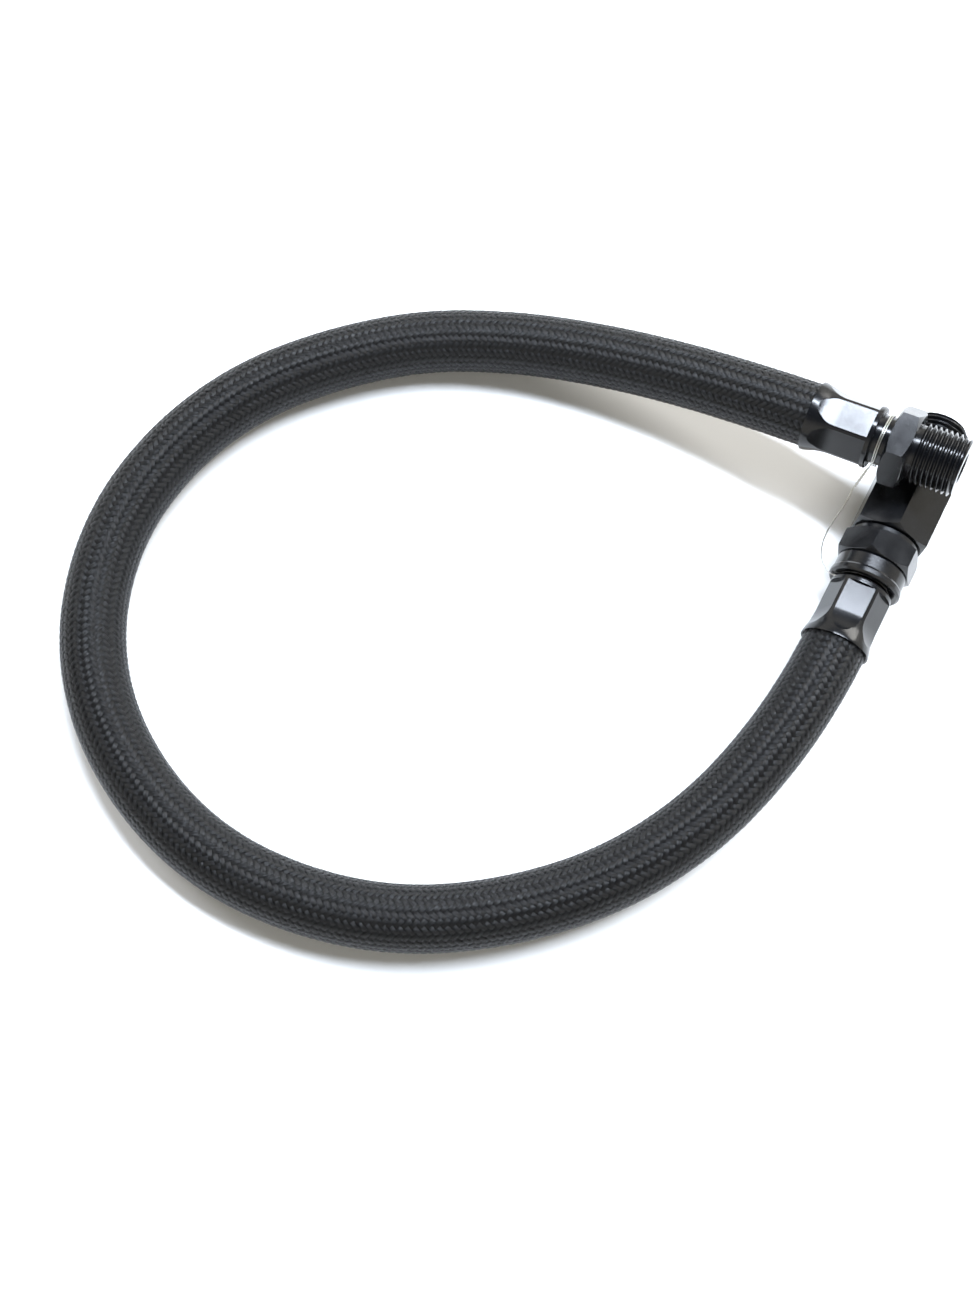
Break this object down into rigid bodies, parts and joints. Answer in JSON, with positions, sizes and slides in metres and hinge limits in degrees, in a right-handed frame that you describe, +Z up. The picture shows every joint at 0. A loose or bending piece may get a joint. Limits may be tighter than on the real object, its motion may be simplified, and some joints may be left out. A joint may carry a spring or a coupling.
{
  "type": "hydraulic hose assembly",
  "caption": "Braided black hydraulic hose laid in a loop, with a fixed male end tied across a swivel end that carries a long male adapter.",
  "frame": {"origin": "on the table, at the middle of the fittings' box seen from above (the hose loop left out)", "axes": "+Y along the swivel end's axis towards its male thread, +Z up from the table, +X towards the free end of the crossing male end, whose axis tilts up 12 degrees from +X"},
  "size_m": [0.2703, 0.2706, 0.0535],
  "materials": {
    "liner_rubber": "smooth black synthetic rubber",
    "inner_textile": "rubber-soaked textile braid",
    "reinforcing_wire": "bright braided steel wire",
    "cover_nylon": "glossy black nylon filament braid",
    "black_anodised": "glossy black anodised aluminium",
    "spring_wire": "drawn spring steel",
    "tie_wire_steel": "soft annealed tie wire"
  },
  "bodies": {
    "root": {"hose_liner": "liner_rubber", "hose_textile_braid": "inner_textile", "hose_wire_braid": "reinforcing_wire", "hose_cover_braid": "cover_nylon", "socket_a": "black_anodised", "male_nipple_a": "black_anodised", "socket_b": "black_anodised", "swivel_nipple_b": "black_anodised", "nut_lock_wire_b": "spring_wire", "adapter_b": "black_anodised", "tie_wire": "tie_wire_steel"},
    "swivel_nut": {"swivel_nut_b": "black_anodised"}
  },
  "joints": [
    {"name": "nut_swivel", "type": "hinge", "parent": "root", "child": "swivel_nut", "pos_m": [0.0153, -0.0238, 0.01466], "axis": [0, 1, 0], "continuous": true}
  ]
}
